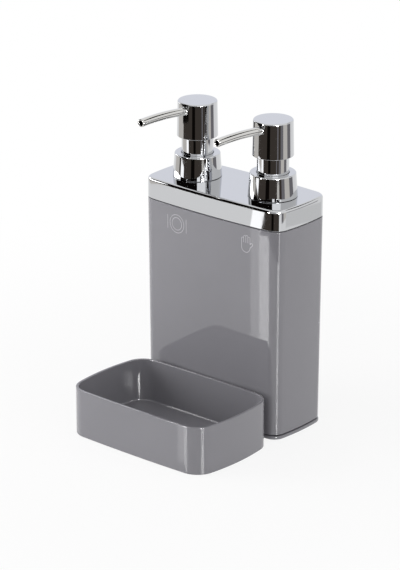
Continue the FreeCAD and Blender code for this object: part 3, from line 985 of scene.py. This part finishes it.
def way_to(azimuth, elevation):
    """Direction that is so far to the right of the front and so far above the horizon."""
    level = math.cos(elevation)
    return Vector((math.sin(azimuth) * level, -math.cos(azimuth) * level, math.sin(elevation)))


def soft_lamp(context, name, azimuth, power):
    """Square area lamp, low at one side, aimed at the middle of the caddy."""
    elevation, distance, width, aim = 12, 1100, 700, 90
    way = way_to(math.radians(azimuth), math.radians(elevation))
    data = bpy.data.lights.new(name, 'AREA')
    data.size = width * MM
    data.energy = power
    lamp = bpy.data.objects.new(name, data)
    lamp.location = (way * distance + UP * aim) * MM
    lamp.rotation_euler = way.to_track_quat('Z', 'Y').to_euler()
    lamp.visible_glossy = False
    context.scene.collection.objects.link(lamp)


def white_world(stage):
    """White background for the eye and for reflections, and plain soft light for the rest."""
    world = bpy.data.worlds.new("white_studio")
    world.use_nodes = True
    tree = world.node_tree
    tree.nodes.clear()
    seen = looked_at(tree, add_node(tree, "ShaderNodeLightPath", {}))
    strength = add_node(tree, "ShaderNodeMapRange", {"Value": seen, "To Min": stage.sky, "To Max": 1.0})
    white = add_node(tree, "ShaderNodeBackground", {"Color": linear("FFFFFF"), "Strength": strength})
    add_node(tree, "ShaderNodeOutputWorld", {"Surface": white})
    return world


class CADDY_OT_stage(bpy.types.Operator):
    """White table, white surroundings, soft lamps, glowing cards that paint reflections and highlights, and
    the camera
    """
    bl_idname = "caddy.stage"
    bl_label = "Stage"

    def execute(self, context):
        scene = context.scene
        stage = scene.caddy_stage
        scene.view_settings.view_transform = 'Standard'
        scene.world = white_world(stage)

        table_low, lying, layer = -0.2, -0.15, 0.005
        outer, far_out, table_r = 2600, 2900, 3000
        table = bmesh.new()
        bmesh.ops.create_circle(table, cap_ends=True, radius=table_r, segments=4 * CARD_STEPS,
                                matrix=Matrix.Translation(UP * table_low))
        add_object(context, table, "table", white_table())

        # Glowing cards that only reflections see: their colours are painted reflections, and the strong white
        # ones are painted highlights
        black = glow("black_painted_reflection", "100D0B", 1.0)
        dark = glow("dark_painted_reflection", "453F3A", 1.0)
        half_dark = glow("half_dark_painted_reflection", "807E82", 1.0)
        pale = glow("pale_painted_reflection", "DEDAD4", 1.0)
        dim = glow("dim_painted_reflection", "E9E9E9", 1.0)
        bright = glow("bright_painted_reflection", "FFFFFF", 1.7)
        sky_blue = glow("blue_white_painted_reflection", "ECEEF6", 1.15)
        # Strong white glowing cards: painted highlights, which light nothing
        dim_highlight = glow("dim_painted_highlight", "FFFFFF", 21.0)
        left_highlight = glow("left_painted_highlight", "FFFFFF", 56.0)
        right_highlight = glow("right_painted_highlight", "FFFFFF", 65.0)
        tray_highlight = glow("tray_painted_highlight", "FFFFFF", 6.0)
        middle = pump_axis("left").lerp(pump_axis("right"), 0.5)
        # Cards on the table that paint dark, pale and bright reflections, each a layer above the one before:
        # degrees to the right, then distances
        for place, (name, finish, start, end, near, far) in enumerate((
                ("dark_painted_floor_reflection_left", dark, -24.9, 8, 388, outer),
                ("black_painted_floor_reflection", black, 8, 25, 388, outer),
                ("dark_painted_floor_reflection_right", dark, 25, 63, 388, outer),
                ("painted_floor_reflection_slit", half_dark, 63, 69, 545, outer),
                ("dark_painted_floor_reflection_far", dark, 69, 81, 545, outer),
                ("half_dark_painted_floor_reflection", half_dark, 81, 96, 500, outer),
                ("pale_painted_floor_reflection_right", pale, 96, 122, 500, outer),
                ("half_dark_painted_floor_reflection_back", half_dark, 122, 146, 560, outer),
                ("dim_painted_floor_reflection_right", dim, 116, 160, 462, 512),
                ("dark_painted_floor_reflection_gap", dark, -29, -24.9, 530, outer),
                ("bright_painted_floor_reflection_band", bright, -27.7, -24.9, 415, 480),
                ("pale_painted_floor_reflection_left", pale, -88, -44, 535, outer),
                ("bright_painted_floor_reflection_sleeves", bright, -46, -29, 530, 636),
                ("dark_painted_floor_reflection_heads", dark, -46, -29, 636, 790),
                ("bright_painted_floor_reflection_collars", bright, -46, -29, 790, 900),
                ("dark_painted_floor_reflection_beyond", dark, -46, -29, 900, outer),
                ("dark_painted_floor_reflection_collar", dark, -57, -47.5, 775, 900),
                ("pale_painted_floor_reflection_collar", pale, 60, 70, 880, 1045))):
            height = lying + place * layer
            studio_card(context, name, finish, start, end, (near, height), (far, height), middle)
        # Upright cards that paint highlights and dark, bright and bluish reflections: degrees to the right,
        # distance, then heights
        for name, finish, start, end, radius, low, high in (
                ("painted_highlight_edge", dim_highlight, -30.4, -28.6, 733, 110, 290),
                ("painted_highlight_left", left_highlight, -28.6, -12, 733, 110, 290),
                ("painted_highlight_right", right_highlight, 55, 69, 756, 110, 322),
                ("bright_painted_wall_reflection_right", bright, 38, 78, far_out, 650, 1900),
                ("black_painted_wall_reflection", black, -29, 38, far_out, 450, 880),
                ("black_painted_wall_reflection_high", black, -29, 38, far_out, 1350, 2400),
                ("black_painted_strip_reflection_near", black, -52, -28, 300, 125, 250),
                ("black_painted_strip_reflection_right", black, -28, -16, 300, 125, 335),
                ("black_painted_strip_reflection_collar", black, 50, 71, 500, 230, 252),
                ("black_painted_wall_reflection_left", black, -80, -33, 520, 85, 900),
                ("black_painted_wall_reflection_gap", black, -33, -25, 520, 215, 900),
                ("blue_white_painted_wall_reflection", sky_blue, -180, -95, 900, 200, 700),
                ("dark_painted_wall_reflection_back", black, 144, 170, 700, 640, 920)):
            studio_card(context, name, finish, start, end, (radius, low), (radius, high), middle)
        # One level card, high to the left of the tray, that paints a highlight
        studio_card(context, "painted_highlight_tray", tray_highlight, -92, -50, (140, 200), (280, 200), middle)

        soft_lamp(context, "soft_left", -55, stage.lamp_power)
        soft_lamp(context, "soft_right", 95, stage.lamp_power / 3)

        data = bpy.data.cameras.new("camera")
        data.lens = stage.lens
        data.sensor_width = SENSOR
        camera = bpy.data.objects.new("camera", data)
        back = way_to(stage.azimuth, stage.elevation)
        target = Vector((stage.target_across, stage.target_back, stage.target_height))
        camera.location = target + back * stage.distance
        camera.rotation_euler = back.to_track_quat('Z', 'Y').to_euler()
        scene.collection.objects.link(camera)
        scene.camera = camera
        return {'FINISHED'}


SETTINGS = {"caddy_body": CaddyBodySettings, "caddy_tray": CaddyTraySettings, "caddy_pump": CaddyPumpSettings,
            "caddy_finish": CaddyFinishSettings, "caddy_stage": CaddyStageSettings}
OPERATORS = (CADDY_OT_shell, CADDY_OT_base, CADDY_OT_lid, CADDY_OT_tray, CADDY_OT_collars, CADDY_OT_sleeves,
             CADDY_OT_heads, CADDY_OT_spouts, CADDY_OT_pictograms, CADDY_OT_springs, CADDY_OT_inner_pieces,
             CADDY_OT_stage)


class CADDY_PT_panel(bpy.types.Panel):
    """Buttons that make the pieces, and the settings that they read"""
    bl_label = "Soap pump caddy"
    bl_space_type = 'VIEW_3D'
    bl_region_type = 'UI'
    bl_category = "Caddy"

    def draw(self, context):
        for operator in OPERATORS:
            self.layout.operator(operator.bl_idname)
        for name, group in SETTINGS.items():
            column = self.layout.column(align=True)
            for setting in group.__annotations__:
                column.prop(getattr(context.scene, name), setting)


def register():
    for kind in (*SETTINGS.values(), *OPERATORS, CADDY_PT_panel):
        bpy.utils.register_class(kind)
    for name, group in SETTINGS.items():
        setattr(bpy.types.Scene, name, PointerProperty(type=group))


def unregister():
    for name in SETTINGS:
        delattr(bpy.types.Scene, name)
    for kind in reversed((*SETTINGS.values(), *OPERATORS, CADDY_PT_panel)):
        bpy.utils.unregister_class(kind)


def main():
    register()
    for operator in OPERATORS:
        getattr(bpy.ops.caddy, operator.bl_idname.split(".")[1])()


if __name__ == "__main__":
    main()
